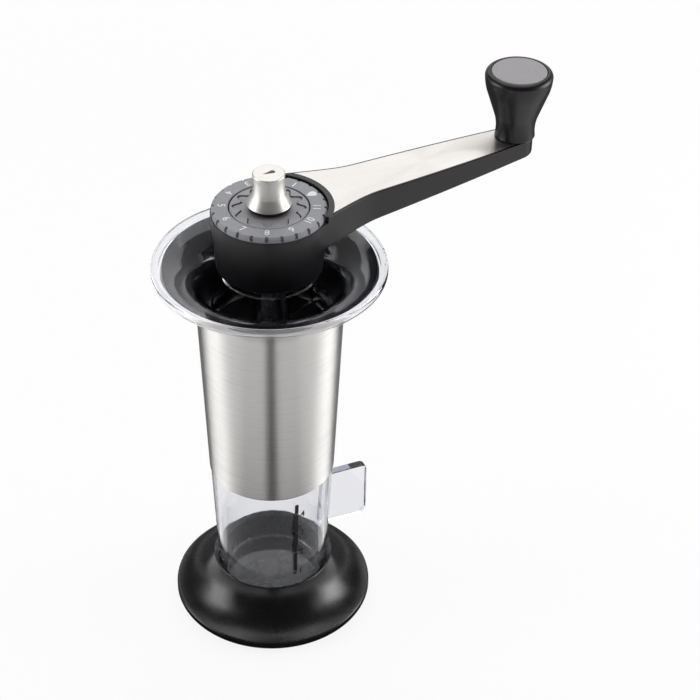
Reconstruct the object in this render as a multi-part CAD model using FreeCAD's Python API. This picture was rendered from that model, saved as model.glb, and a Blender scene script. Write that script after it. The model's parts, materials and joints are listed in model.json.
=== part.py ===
"""Hand crank coffee grinder: every piece as its own solid, in millimetres.

The origin is the centre of the foot's underside, on the turning axis.
+Z is up and +X runs along the crank arm.
"""

import FreeCAD, Part
import math
import os

# Foot and rubber pad
PAD_R = 44.0
PAD_H = 1.6
FOOT_R = 48.0
BRIM_LOW = 3.6
BRIM_HIGH = 5.3
BRIM_UNDER = (46.6, 2.0)
BRIM_LOW_CORNER = (47.55, 2.7)
BRIM_HIGH_CORNER = (47.7, 6.2)
FLANK_LOW = (46.9, 6.5)
FLANK_HIGH = (29.2, 24.5)
FLANK_BEND = 60.0
COLLAR_TOP = 25.3
COLLAR_EDGE = 0.5
COLLAR_DISH = 1.6
FOOT_WALL = 2.4
FOOT_HOLLOW_R = 43.0
SOCKET_GAP = 0.25

# Grounds container
CUP_FLOOR_Z = 9.6
CUP_BOTTOM_R = 26.0
CUP_TOP_Z = 82.0
CUP_TOP_R = 29.2
CUP_WALL = 2.0
CUP_FLOOR = 2.4
CUP_CORNER = 2.0
CUP_SHOULDER = 1.2
CUP_EDGE = 0.2
NECK_R = 25.2
NECK_WALL = 2.0
NECK_TOP = 96.0
TAB_ANGLE = -6.4
TAB_REACH = 49.2
TAB_ROOT = 26.6
TAB_THICK = 4.35
TAB_LOW = 34.0
TAB_HIGH = 65.0
TAB_TOP_ROUND = 3.0
TAB_LOW_ROUND = 4.0
TAB_EDGE = 0.5

# Bayonet between the container and the housing
LUG_ANGLES = (60.0, 180.0, 300.0)
LUG_SPAN = 22.0
LUG_R = 26.6
LUG_LOW = 87.3
LUG_HIGH = 90.3
TWIST = 30.0
ENTRY_SPAN = 27.0
CHANNEL_R = 26.9
CHANNEL_LOW = 87.0
CHANNEL_HIGH = 91.5
SKIRT_R = 25.5

# Steel housing: a cone that ends in a quarter-round trumpet flare
SHELL_BOTTOM = 82.5
SHELL_BOTTOM_R = 29.7
SHELL_SLOPE = 0.0409
SHELL_WALL = 0.8
FLARE_START = 174.8
FLARE_ROUND = 18.6
FLARE_END_R = 48.7
LINER_GAP = 0.3

# Clear hopper bowl and black inner funnel, both round the flare's own centre
FUNNEL_OUT = 19.6
FUNNEL_IN = 21.0
FUNNEL_TOP_R = 48.0
BOWL_OUT = 21.2
BOWL_IN = 23.2
BOWL_BOTTOM = 167.0
RIM_R = 52.6
RIM_INNER_R = 49.4
RIM_LOW = 192.6
RIM_ROUND = 1.8
LEDGE_Z = 165.8
FUNNEL_FOOT = 146.0
FUNNEL_WALL = 1.6
FUNNEL_RELIEF = (29.9, 155.5)
THROAT_R = 17.6

# Bearing spider
DRUM_R = 21.9
DRUM_WALL = 2.0
DRUM_LOW = 191.5
DRUM_TOP = 199.0
DRUM_PLATE = 2.5
HUB_R = 8.5
HUB_BORE = 6.0
HUB_LOW = 160.0
FIN_ANGLES = (18.0, 138.0, 258.0)
FIN_THICK = 2.4
FIN_DROP = 2.0
SPIDER_BITE = 1.0
RING_R = 28.6
RING_WALL = 1.6
RING_LOW = 161.0
RING_TOP = 172.0
FLANGE_R = 30.6
DRUM_LUG_ANGLE = -103.0
DRUM_LUG_SPAN = 14.0
DRUM_LUG_OUT = 0.4
DRUM_LUG_HIGH = 195.1
DRUM_LUG_LOW = 192.1
BUSH_LENGTH = 8.0
BUSH_BORE = 4.05
WASHER_THICK = 0.8
THRUST_R = 9.0
SPRING_WASHER_R = 7.6
SHAFT_PLAY = 0.4

# Burr housing, ring burr and cone burr
SEAT_TOP = 143.2
SEAT_LOW = 119.0
SEAT_R = 21.6
BURR_R = 21.5
RING_LIP_R = 16.5
RING_WAIST_R = 14.8
RING_WAIST_Z = 138.0
RING_EXIT_R = 17.5
RING_EXIT_Z = 121.0
CONE_TIP_R = 6.5
CONE_TIP_Z = 148.0
CONE_KNEE_R = 13.0
CONE_KNEE_Z = 136.0
CONE_EXIT_R = 17.0
FINE_TEETH = 24
FINE_TOOTH_R = 0.7
COARSE_TEETH = 6
RING_FLUTE_R = 1.4
CONE_FLUTE_R = 2.0
TOOTH_SKEW = 14.0
RETAINER_R = 25.2
RETAINER_BORE = 18.5
RETAINER_H = 2.5
RETAINER_SCREW_R = 23.2
RETAINER_SCREW = 1.2
RETAINER_HEAD = 1.9
RETAINER_HEAD_H = 1.3
RETAINER_REACH = 10.0

# Screws, three at a time
SCREW_ANGLES = (60.0, 180.0, 300.0)
SCREW_SLOT = 0.5

# Drive shaft
SHAFT_R = 4.0
SQUARE = 5.6
SQUARE_LOW = 203.0
SQUARE_TOP = 224.0
THREAD_R = 2.5
SHAFT_TOP = 240.5
STUD_R = 2.5
STUD_LOW = 112.0
DRIVER_R = 6.3
DRIVER_LOW = 148.1
DRIVER_TOP = 152.2
PIN_R = 1.0
PIN_LENGTH = 11.6
NUT_FLATS = 8.0
NUT_LOW = 113.0
BURR_WASHER_R = 7.5
BURR_WASHER_H = 1.2

# Spring round the shaft
SPRING_R = 5.6
WIRE_R = 0.5
SPRING_TURNS = 3.25
SPRING_LOW = 152.75
SPRING_TOP = 158.6

# Crank head
HEAD_LOW = 195.9
HEAD_LOW_R = 23.75
HEAD_TOP = 223.3
HEAD_TOP_R = 25.8
HEAD_RECESS_R = 22.4
HEAD_FLOOR = 199.9
HEAD_BOSS_R = 17.6
HEAD_HOLLOW_TOP = 219.0
DIAL_FLOOR = 222.6
DIAL_POCKET_R = 25.45
LIP_IN_R = 25.9
LIP_OUT_R = 28.4
LIP_NEAR_END = 48.0
LIP_FAR_END = 55.0

# Crank arm, its plate and the handle axle
ARM_TOP = 226.5
ARM_LOW_X = 57.0
ARM_LOW_Z = 212.8
ARM_LOW_SLOPE = 0.0726
ARM_ROOT_ANGLE = 62.0
ARM_ROOT_SINK = 0.1
ARM_SIDE = ((22.8, 19.0), (32.4, 16.1), (41.8, 13.75))
ARM_NECK = (50.5, 12.85)
ARM_BOW = 0.45
ARM_END_R = 8.4
ARM_EDGE = 1.2
ARM_RIM_EDGE = 0.5
CRANK_RADIUS = 127.3
PLATE_TOP = 226.5
PLATE_LOW = 225.6
PLATE_INSET = 1.0
AXLE_R = 3.0
AXLE_HEAD_R = 5.0
AXLE_TOP = 253.0
AXLE_SINK = 2.6
AXLE_HEAD_H = 2.2
AXLE_SLOT = 1.0
CLIP_R = 5.2
CLIP_BORE = 2.4
CLIP_LOW = 251.0
CLIP_TOP = 251.8
BUSH_SHORT = 0.6
AXLE_WASHER_R = 6.5
AXLE_WASHER_H = 0.2

# Dial, star and drive socket
DIAL_R = 25.3
DIAL_TOP = 226.0
DIAL_BEVEL = 0.7
DIAL_RING_R = 18.0
DIAL_CENTER_R = 17.4
DIAL_CENTER_TOP = 225.8
DIAL_CENTER_BEVEL = 0.3
NOTCHES = 24
NOTCH_WIDE = 1.4
NOTCH_DEEP = 1.3
NOTCH_LOW = 223.6
STAR_MEAN = 13.9
STAR_WAVE = 1.7
STAR_LOBES = 12
STAR_GAP = 0.8
STAR_TOP = 225.3
WASHER_LOW = 226.0
SOCKET_R = 16.0
SOCKET_LOW = 214.0
SQUARE_HOLE = 5.8
HUB_SCREW_R = 12.5
HUB_SCREW = 1.5
HUB_SCREW_HEAD = 2.4
HUB_SCREW_HEAD_H = 2.0
HUB_SCREW_SEAT = 202.4
HUB_SCREW_REACH = 17.0

# Adjusting knob
KNOB_WASHER_R = 9.0
KNOB_LOW = 227.8
KNOB_LOW_R = 9.9
KNOB_CREASE = (7.5, 232.8)
KNOB_WAIST = (6.85, 237.5)
KNOB_TOP = 243.0
KNOB_TOP_R = 7.2
KNOB_EDGE = 0.7
NUT_OUT_R = 5.0
NUT_TOP = 241.2
POINTER_LONG = 6.0
POINTER_ROUND = 1.2
POINTER_DEEP = 0.5

# Handle knob
GRIP_LOW = 226.8
GRIP_LOW_R = 9.25
GRIP_EDGE = 0.4
GRIP_WAIST = (8.98, 231.5)
GRIP_NECK = (9.93, 237.4)
GRIP_SHOULDER = (14.1, 249.7)
GRIP_SWELL = (15.0, 253.1)
GRIP_WIDE = (15.4, 256.7)
GRIP_CROWN = (14.95, 258.7)
GRIP_TOP = 259.6
GRIP_TOP_R = 13.0
GRIP_RIM = 0.6
CLIP_ROOM_R = 7.0
CAP_R = 12.6
CAP_TOP = 259.75
CAP_LOW = 257.2
GRIP_BUSH_R = 4.6

AXIS = FreeCAD.Vector(0, 0, 1)
ORIGIN = FreeCAD.Vector(0, 0, 0)

# Clearances and overlaps
FIT_GAP = 0.02
NUDGE = 0.05
RUN_GAP = 0.1
FREE_GAP = 0.25
OVERRUN = 1.0


def at(radius, height):
    """A point of the half plane that is turned about the axis."""
    return FreeCAD.Vector(radius, 0, height)


def polar(radius, angle, height):
    """A point by its radius, its angle in degrees from +X and its height."""
    turn = math.radians(angle)
    return FreeCAD.Vector(radius * math.cos(turn), radius * math.sin(turn), height)


def outline(start, *steps):
    """A closed wire: each step is an end point, or a (through, end) pair for an arc."""
    edges = []
    last = start
    for step in steps + (start,):
        if isinstance(step, tuple):
            through, end = step
            edges.append(Part.Arc(last, through, end).toShape())
        else:
            end = step
            if last.distanceToPoint(end) < 1e-6:
                continue
            edges.append(Part.LineSegment(last, end).toShape())
        last = end
    return Part.Wire(edges)


def turned(start, *steps):
    """The solid that an outline in the half plane makes when it is turned about the axis."""
    return Part.Face(outline(start, *steps)).revolve(ORIGIN, AXIS, 360)


def tube(outer, inner, low, high):
    """A plain ring."""
    ring = Part.makeCylinder(outer, high - low, FreeCAD.Vector(0, 0, low))
    return ring.cut(rod(inner, low - OVERRUN, high + OVERRUN))


def rod(radius, low, high, x=0.0, y=0.0):
    """A plain upright cylinder."""
    return Part.makeCylinder(radius, high - low, FreeCAD.Vector(x, y, low))


def sector(outer, inner, low, high, middle, span):
    """A piece of a ring, centred on an angle."""
    half = span / 2
    round_trip = ((inner, -half), (outer, -half), (outer, half), (inner, half))
    corners = [polar(radius, middle + angle, low) for radius, angle in round_trip]
    wire = outline(
        corners[0],
        corners[1],
        (polar(outer, middle, low), corners[2]),
        corners[3],
        (polar(inner, middle, low), corners[0]),
    )
    return Part.Face(wire).extrude(FreeCAD.Vector(0, 0, high - low))


def spun(shape, angle):
    """A copy turned about the axis."""
    copy = shape.copy()
    copy.rotate(ORIGIN, AXIS, angle)
    return copy


def ring_of(shape, count):
    """Copies of a shape at even steps round the axis."""
    return [spun(shape, 360.0 * i / count) for i in range(count)]


def square_bar(side, low, high):
    """An upright square bar on the axis."""
    corner = FreeCAD.Vector(-side / 2, -side / 2, low)
    return Part.makeBox(side, side, high - low, corner)


def slanted_rod(radius, bottom, top):
    """A round bar between two points."""
    run = top - bottom
    return Part.makeCylinder(radius, run.Length, bottom, run)


def shell_radius(height, inset=0.0):
    """The steel cone's outer radius at a height, less an inset."""
    return SHELL_BOTTOM_R + SHELL_SLOPE * (height - SHELL_BOTTOM) - inset


def flare_centre():
    """The centre of the trumpet flare, which leaves the cone without a corner."""
    length = math.hypot(1.0, SHELL_SLOPE)
    radius = shell_radius(FLARE_START) + FLARE_ROUND / length
    return radius, FLARE_START - FLARE_ROUND * SHELL_SLOPE / length


def flare_point(round_r, angle):
    """A point on a round of the flare: angle 0 is the throat, 90 the top."""
    centre_r, centre_z = flare_centre()
    turn = math.radians(angle)
    return at(centre_r - round_r * math.cos(turn), centre_z + round_r * math.sin(turn))


def flare_angle(round_r, radius):
    """The angle on a round of the flare where it reaches a radius."""
    return math.degrees(math.acos((flare_centre()[0] - radius) / round_r))


def cup_radius(height, inset=0.0):
    """The container's outer radius at a height, less an inset."""
    share = (height - CUP_FLOOR_Z) / (CUP_TOP_Z - CUP_FLOOR_Z)
    return CUP_BOTTOM_R + share * (CUP_TOP_R - CUP_BOTTOM_R) - inset


def arm_low(x):
    """The height of the arm's underside."""
    return ARM_LOW_Z + ARM_LOW_SLOPE * (x - ARM_LOW_X)


def base_pad():
    edge = 0.4
    return turned(at(0, 0), at(PAD_R - edge, 0), at(PAD_R, edge), at(PAD_R, PAD_H), at(0, PAD_H))


def flank_arc():
    """The centre and radius of the foot's hollow flank, from its two ends and the angle that it bends."""
    low = at(*FLANK_LOW)
    high = at(*FLANK_HIGH)
    run = high - low
    half_bend = math.radians(FLANK_BEND / 2)
    outward = FreeCAD.Vector(run.z, 0, -run.x).normalize()
    centre = (low + high) * 0.5 + outward * (run.Length / 2 / math.tan(half_bend))
    return centre, run.Length / 2 / math.sin(half_bend)


def flank_point(radius, inset=0.0):
    """The point of the flank at a radius, moved into the wall by an inset."""
    centre, bend_r = flank_arc()
    return at(radius, centre.z - math.sqrt((bend_r + inset) ** 2 - (centre.x - radius) ** 2))


def base_shell():
    """The foot: a thick brim, a hollow flank, a thin collar and the socket for the container."""
    flank_mid_r = (FLANK_LOW[0] + 2 * FLANK_HIGH[0]) / 3
    collar_r = FLANK_HIGH[0]
    corner = COLLAR_EDGE * (1 - math.sqrt(0.5))
    socket_r = CUP_BOTTOM_R + SOCKET_GAP
    mouth_z = COLLAR_TOP - COLLAR_DISH
    body = turned(
        at(0, PAD_H),
        at(PAD_R + COLLAR_EDGE, PAD_H),
        at(*BRIM_UNDER),
        (at(*BRIM_LOW_CORNER), at(FOOT_R, BRIM_LOW)),
        at(FOOT_R, BRIM_HIGH),
        (at(*BRIM_HIGH_CORNER), at(*FLANK_LOW)),
        (flank_point(flank_mid_r), at(*FLANK_HIGH)),
        at(collar_r, COLLAR_TOP - COLLAR_EDGE),
        (at(collar_r - corner, COLLAR_TOP - corner), at(collar_r - COLLAR_EDGE, COLLAR_TOP)),
        at(cup_radius(mouth_z) + SOCKET_GAP, mouth_z),
        at(socket_r, CUP_FLOOR_Z),
        at(0, CUP_FLOOR_Z),
    )
    wall_r = CUP_BOTTOM_R + FOOT_WALL
    hollow_low = flank_point(FOOT_HOLLOW_R, FOOT_WALL)
    hollow_mid = flank_point(flank_mid_r, FOOT_WALL)
    hollow_high = flank_point(wall_r + FOOT_WALL / 2, FOOT_WALL)
    hollow = turned(
        at(0, PAD_H - OVERRUN),
        at(FOOT_HOLLOW_R, PAD_H - OVERRUN),
        hollow_low,
        (hollow_mid, hollow_high),
        at(wall_r, hollow_high.z),
        at(wall_r, CUP_FLOOR_Z - FOOT_WALL),
        at(0, CUP_FLOOR_Z - FOOT_WALL),
    )
    return body.cut(hollow)


def container_tab():
    """The flat grip tab, with rounded outer corners and softened edges."""
    top = FreeCAD.Vector(TAB_REACH, 0, TAB_HIGH)
    low = FreeCAD.Vector(TAB_REACH, 0, TAB_LOW)
    turn = 1 - math.sqrt(0.5)
    wire = outline(
        at(TAB_ROOT, TAB_LOW),
        low - at(TAB_LOW_ROUND, 0),
        (low + at(-TAB_LOW_ROUND * turn, TAB_LOW_ROUND * turn), low + at(0, TAB_LOW_ROUND)),
        top - at(0, TAB_TOP_ROUND),
        (top - at(TAB_TOP_ROUND * turn, TAB_TOP_ROUND * turn), top - at(TAB_TOP_ROUND, 0)),
        at(TAB_ROOT, TAB_HIGH),
    )
    plate = Part.Face(wire).extrude(FreeCAD.Vector(0, TAB_THICK, 0))
    plate.translate(FreeCAD.Vector(0, -TAB_THICK / 2, 0))
    rims = [e for e in plate.Edges if e.BoundBox.YLength < 1e-6 and e.BoundBox.XMax > TAB_ROOT + 1e-3]
    return spun(plate.makeFillet(TAB_EDGE, rims), TAB_ANGLE)


def grounds_container():
    """The clear cup with its neck, bayonet lugs and tab."""
    foot_round = 1.5
    floor_top = CUP_FLOOR_Z + CUP_FLOOR
    inner_low = cup_radius(floor_top, CUP_WALL)
    shoulder_low = CUP_TOP_Z - CUP_SHOULDER
    corner = CUP_CORNER * (1 - math.sqrt(0.5))
    edge = 0.5
    cup = turned(
        at(0, CUP_FLOOR_Z),
        at(CUP_BOTTOM_R - foot_round, CUP_FLOOR_Z),
        at(cup_radius(CUP_FLOOR_Z + foot_round), CUP_FLOOR_Z + foot_round),
        at(cup_radius(CUP_TOP_Z - CUP_EDGE), CUP_TOP_Z - CUP_EDGE),
        at(CUP_TOP_R - CUP_EDGE, CUP_TOP_Z),
        at(NECK_R, CUP_TOP_Z),
        at(NECK_R, NECK_TOP - edge),
        at(NECK_R - edge, NECK_TOP),
        at(NECK_R - NECK_WALL, NECK_TOP),
        at(NECK_R - NECK_WALL, shoulder_low - CUP_EDGE),
        at(cup_radius(shoulder_low, CUP_WALL), shoulder_low),
        at(inner_low, floor_top + CUP_CORNER),
        (at(inner_low - corner, floor_top + corner), at(inner_low - CUP_CORNER, floor_top)),
        at(0, floor_top),
    )
    bite = 0.6
    lugs = [sector(LUG_R, NECK_R - bite, LUG_LOW, LUG_HIGH, angle, LUG_SPAN) for angle in LUG_ANGLES]
    return cup.multiFuse([container_tab()] + lugs).removeSplitter()


def housing_shell():
    end = flare_angle(FLARE_ROUND, FLARE_END_R)
    inner = FLARE_ROUND + SHELL_WALL
    return turned(
        at(shell_radius(SHELL_BOTTOM), SHELL_BOTTOM),
        flare_point(FLARE_ROUND, 0),
        (flare_point(FLARE_ROUND, end / 2), flare_point(FLARE_ROUND, end)),
        flare_point(inner, end),
        (flare_point(inner, end / 2), flare_point(inner, 0)),
        at(shell_radius(SHELL_BOTTOM, SHELL_WALL), SHELL_BOTTOM),
    )


def hopper_bowl():
    """The clear bell with its thick rounded rim."""
    top_angle = 88.0
    top = flare_point(BOWL_IN, top_angle)
    under = flare_angle(BOWL_OUT, RIM_INNER_R)
    corner = RIM_ROUND * (1 - math.sqrt(0.5))
    throat_in = flare_point(BOWL_IN, 0)
    throat_out = flare_point(BOWL_OUT, 0)
    return turned(
        at(throat_in.x, BOWL_BOTTOM),
        throat_in,
        (flare_point(BOWL_IN, top_angle / 2), top),
        (at(RIM_R - corner, top.z - corner), at(RIM_R, top.z - RIM_ROUND)),
        at(RIM_R, RIM_LOW + RIM_ROUND),
        (at(RIM_R - corner, RIM_LOW + corner), at(RIM_R - RIM_ROUND, RIM_LOW)),
        at(RIM_INNER_R, RIM_LOW),
        flare_point(BOWL_OUT, under),
        (flare_point(BOWL_OUT, under / 2), throat_out),
        at(throat_out.x, BOWL_BOTTOM),
    )


def inner_funnel():
    """The black liner behind the clear bowl, narrowing to the burrs."""
    liner = SHELL_WALL + LINER_GAP
    top_in = flare_angle(FUNNEL_IN, FUNNEL_TOP_R)
    top_out = flare_angle(FUNNEL_OUT, FUNNEL_TOP_R)
    throat = flare_point(FUNNEL_IN, 0)
    ledge_in = RING_R + LINER_GAP
    return turned(
        at(shell_radius(FUNNEL_FOOT, liner), FUNNEL_FOOT),
        at(shell_radius(FUNNEL_FOOT, liner + FUNNEL_WALL), FUNNEL_FOOT),
        at(*FUNNEL_RELIEF),
        at(THROAT_R + FUNNEL_WALL, FUNNEL_FOOT),
        at(THROAT_R, FUNNEL_FOOT),
        at(THROAT_R, FUNNEL_FOOT + FUNNEL_WALL),
        at(ledge_in, RING_LOW - FUNNEL_WALL),
        at(ledge_in, LEDGE_Z),
        at(throat.x, LEDGE_Z),
        throat,
        (flare_point(FUNNEL_IN, top_in / 2), flare_point(FUNNEL_IN, top_in)),
        flare_point(FUNNEL_OUT, top_out),
        (flare_point(FUNNEL_OUT, top_out / 2), flare_point(FUNNEL_OUT, 0)),
    )


def spider_fin(angle):
    """One radial fin between the hub tube and the ring in the throat."""
    hub_in = HUB_R - SPIDER_BITE
    ring_in = RING_R - RING_WALL / 2
    drum_in = DRUM_R - DRUM_WALL / 2
    wire = outline(
        at(hub_in, RING_LOW + SPIDER_BITE),
        at(ring_in, RING_LOW + SPIDER_BITE),
        at(ring_in, RING_TOP - SPIDER_BITE),
        at(drum_in, DRUM_LOW + FIN_DROP),
        at(drum_in, DRUM_TOP - SPIDER_BITE),
        at(hub_in, DRUM_TOP - SPIDER_BITE),
    )
    fin = Part.Face(wire).extrude(FreeCAD.Vector(0, FIN_THICK, 0))
    fin.translate(FreeCAD.Vector(0, -FIN_THICK / 2, 0))
    return spun(fin, angle)


def bearing_spider():
    """The clear drum, hub tube, fins and throat ring that carry the shaft."""
    edge = 0.5
    drum = turned(
        at(HUB_R - SPIDER_BITE, DRUM_TOP - DRUM_PLATE),
        at(DRUM_R - DRUM_WALL, DRUM_TOP - DRUM_PLATE),
        at(DRUM_R - DRUM_WALL, DRUM_LOW),
        at(DRUM_R - edge, DRUM_LOW),
        at(DRUM_R, DRUM_LOW + edge),
        at(DRUM_R, DRUM_TOP - edge),
        at(DRUM_R - edge, DRUM_TOP),
        at(HUB_R - SPIDER_BITE, DRUM_TOP),
    )
    hub = tube(HUB_R, HUB_BORE, HUB_LOW, DRUM_TOP)
    ring = turned(
        at(RING_R - RING_WALL, RING_LOW),
        at(RING_R, RING_LOW),
        at(RING_R, LEDGE_Z),
        at(FLANGE_R, LEDGE_Z),
        at(FLANGE_R, BOWL_BOTTOM - NUDGE),
        at(RING_R, BOWL_BOTTOM - NUDGE),
        at(RING_R, RING_TOP),
        at(RING_R - RING_WALL, RING_TOP),
    )
    lug_out = DRUM_R + DRUM_LUG_OUT
    lug_in = DRUM_R - SPIDER_BITE
    lug = sector(lug_out, lug_in, DRUM_LUG_LOW, DRUM_LUG_HIGH, DRUM_LUG_ANGLE, DRUM_LUG_SPAN)
    fins = [spider_fin(angle) for angle in FIN_ANGLES]
    return drum.multiFuse([hub, ring, lug] + fins).removeSplitter()


def bush(low):
    return tube(HUB_BORE - FIT_GAP, BUSH_BORE, low, low + BUSH_LENGTH)


def screw_bores(radius, pitch_r, low, high):
    """Upright bores on a circle, one at each screw."""
    return [spun(rod(radius, low, high, pitch_r), angle) for angle in SCREW_ANGLES]


def screws(shank, head, pitch_r, seat, head_h, reach):
    """Slotted screws on a circle, heads down, that reach up from their seat."""
    one = rod(shank, seat - NUDGE, seat + reach, pitch_r)
    one = one.fuse(rod(head, seat - head_h, seat, pitch_r))
    slot_corner = FreeCAD.Vector(pitch_r - head, -SCREW_SLOT / 2, seat - head_h)
    one = one.cut(Part.makeBox(2 * head, SCREW_SLOT, SCREW_SLOT, slot_corner))
    return Part.makeCompound([spun(one, angle) for angle in SCREW_ANGLES])


def retainer_screws():
    seat = SEAT_LOW - RETAINER_H
    return screws(RETAINER_SCREW, RETAINER_HEAD, RETAINER_SCREW_R, seat, RETAINER_HEAD_H, RETAINER_REACH)


def hub_screws():
    return screws(HUB_SCREW, HUB_SCREW_HEAD, HUB_SCREW_R, HUB_SCREW_SEAT, HUB_SCREW_HEAD_H, HUB_SCREW_REACH)


def burr_housing():
    """The black core: burr seat above, bayonet channel below."""
    liner = SHELL_WALL + LINER_GAP
    core = turned(
        at(SKIRT_R, SHELL_BOTTOM + RUN_GAP),
        at(shell_radius(SHELL_BOTTOM, liner), SHELL_BOTTOM + RUN_GAP),
        at(shell_radius(FUNNEL_FOOT, liner), FUNNEL_FOOT - NUDGE),
        at(THROAT_R, FUNNEL_FOOT - NUDGE),
        at(THROAT_R, SEAT_TOP),
        at(SEAT_R, SEAT_TOP),
        at(SEAT_R, SEAT_LOW),
        at(SKIRT_R, SEAT_LOW),
        at(SKIRT_R, CHANNEL_HIGH),
        at(CHANNEL_R, CHANNEL_HIGH),
        at(CHANNEL_R, CHANNEL_LOW),
        at(SKIRT_R, CHANNEL_LOW),
    )
    entry_in = SKIRT_R - OVERRUN
    entry_low = SHELL_BOTTOM - OVERRUN
    entry_top = CHANNEL_LOW + NUDGE
    entries = [
        sector(CHANNEL_R, entry_in, entry_low, entry_top, angle - TWIST, ENTRY_SPAN)
        for angle in LUG_ANGLES
    ]
    bore_top = SEAT_LOW + RETAINER_REACH
    bores = screw_bores(RETAINER_SCREW + FIT_GAP, RETAINER_SCREW_R, SEAT_LOW - OVERRUN, bore_top)
    return core.cut(entries + bores)


def outer_burr():
    """The ring burr, with fine teeth below its waist and wide feed flutes above."""
    top = SEAT_TOP - NUDGE
    ring = turned(
        at(RING_EXIT_R, SEAT_LOW + NUDGE),
        at(BURR_R, SEAT_LOW + NUDGE),
        at(BURR_R, top),
        at(RING_LIP_R, top),
        at(RING_WAIST_R, RING_WAIST_Z),
        at(RING_EXIT_R, RING_EXIT_Z),
    )
    tooth_top = polar(RING_WAIST_R, TOOTH_SKEW, RING_WAIST_Z)
    tooth = slanted_rod(FINE_TOOTH_R, polar(RING_EXIT_R, 0, SEAT_LOW), tooth_top)
    flute_low = polar(RING_WAIST_R, 0, RING_WAIST_Z - 2 * OVERRUN)
    flute_top = polar(RING_LIP_R + OVERRUN / 2, TOOTH_SKEW, top + OVERRUN)
    flute = slanted_rod(RING_FLUTE_R, flute_low, flute_top)
    return ring.cut(ring_of(tooth, FINE_TEETH) + ring_of(flute, COARSE_TEETH))


def burr_retainer():
    ring = tube(RETAINER_R, RETAINER_BORE, SEAT_LOW - RETAINER_H, SEAT_LOW - NUDGE)
    low = SEAT_LOW - 2 * RETAINER_H
    return ring.cut(screw_bores(RETAINER_SCREW + FREE_GAP, RETAINER_SCREW_R, low, SEAT_LOW))


def inner_burr():
    """The cone burr, with teeth and flutes that follow its two slopes."""
    low = SEAT_LOW
    bore = SHAFT_R + RUN_GAP
    cone = turned(
        at(bore, low),
        at(CONE_EXIT_R, low),
        at(CONE_EXIT_R, RING_EXIT_Z),
        at(CONE_KNEE_R, CONE_KNEE_Z),
        at(CONE_TIP_R, CONE_TIP_Z),
        at(bore, CONE_TIP_Z),
    )
    tooth_out = FINE_TOOTH_R / 2
    flute_out = 0.75 * CONE_FLUTE_R
    tooth_top = polar(CONE_KNEE_R + tooth_out, -TOOTH_SKEW, CONE_KNEE_Z)
    tooth = slanted_rod(FINE_TOOTH_R, polar(CONE_EXIT_R + tooth_out, 0, low), tooth_top)
    flute_low = polar(CONE_KNEE_R + flute_out, 0, CONE_KNEE_Z - 2 * OVERRUN)
    flute_top = polar(CONE_TIP_R + flute_out, -2 * TOOTH_SKEW, CONE_TIP_Z + OVERRUN)
    flute = slanted_rod(CONE_FLUTE_R, flute_low, flute_top)
    return cone.cut(ring_of(tooth, FINE_TEETH) + ring_of(flute, COARSE_TEETH))


def drive_shaft():
    """A round shaft with a square, a threaded top and a threaded stud below the burr."""
    shaft = rod(SHAFT_R, SEAT_LOW - NUDGE, SQUARE_LOW)
    shaft = shaft.fuse(square_bar(SQUARE, SQUARE_LOW - OVERRUN, SQUARE_TOP))
    shaft = shaft.fuse(rod(THREAD_R, SQUARE_TOP - OVERRUN, SHAFT_TOP))
    shaft = shaft.fuse(rod(STUD_R, STUD_LOW, SEAT_LOW))
    return shaft.cut(cross_pin(PIN_R + FIT_GAP))


def cross_pin(radius):
    middle = (DRIVER_LOW + DRIVER_TOP) / 2
    start = FreeCAD.Vector(-PIN_LENGTH / 2, 0, middle)
    return Part.makeCylinder(radius, PIN_LENGTH, start, FreeCAD.Vector(1, 0, 0))


def burr_driver():
    hub = tube(DRIVER_R, SHAFT_R + NUDGE, DRIVER_LOW, DRIVER_TOP)
    return hub.cut(cross_pin(PIN_R + FIT_GAP))


def hex_nut(flats, bore, low, high):
    side = flats / math.sqrt(3)
    corners = [polar(side, 60.0 * i, low) for i in range(6)]
    block = Part.Face(outline(*corners)).extrude(FreeCAD.Vector(0, 0, high - low))
    return block.cut(rod(bore, low - OVERRUN, high + OVERRUN))


def corner_arc(start, corner, end):
    """The arc that leaves start towards a corner and reaches end from it."""
    middle = (start + end) * 0.5
    reach = corner - middle
    half = start.distanceToPoint(end) / 2
    side = start.distanceToPoint(corner)
    sagitta = half * (reach.Length / side) / (1 + half / side)
    return Part.Arc(start, middle + reach * (sagitta / reach.Length), end).toShape()


def helix_state(turn):
    """A point of the spring's centre line and its direction, by the turns from the bottom."""
    angle = 2 * math.pi * turn
    climb = (SPRING_TOP - SPRING_LOW) / SPRING_TURNS
    point = polar(SPRING_R, math.degrees(angle), SPRING_LOW + climb * turn)
    way = FreeCAD.Vector(-SPRING_R * math.sin(angle), SPRING_R * math.cos(angle), climb / (2 * math.pi))
    return point, way.normalize()


def biarc(first, second):
    """Two arcs that join two states of the helix without a corner."""
    (p0, t0), (p1, t1) = first, second
    run = p1 - p0
    both = t0 + t1
    bend = 2 * (1 - t0.dot(t1))
    lead = run.dot(both)
    reach = (math.sqrt(lead * lead + bend * run.dot(run)) - lead) / bend
    corner_a = p0 + t0 * reach
    corner_b = p1 - t1 * reach
    joint = (corner_a + corner_b) * 0.5
    return [corner_arc(p0, corner_a, joint), corner_arc(joint, corner_b, p1)]


def spring_gap():
    """The least gap between two turns of the wire, measured on points of its centre line."""
    steps_per_turn = 48
    total = int(SPRING_TURNS * steps_per_turn)
    points = [helix_state(i / steps_per_turn)[0] for i in range(total + 1)]
    least = min(
        points[i].distanceToPoint(points[j])
        for i in range(total + 1)
        for j in range(i + steps_per_turn // 2, total + 1)
    )
    return least - 2 * WIRE_R


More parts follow.
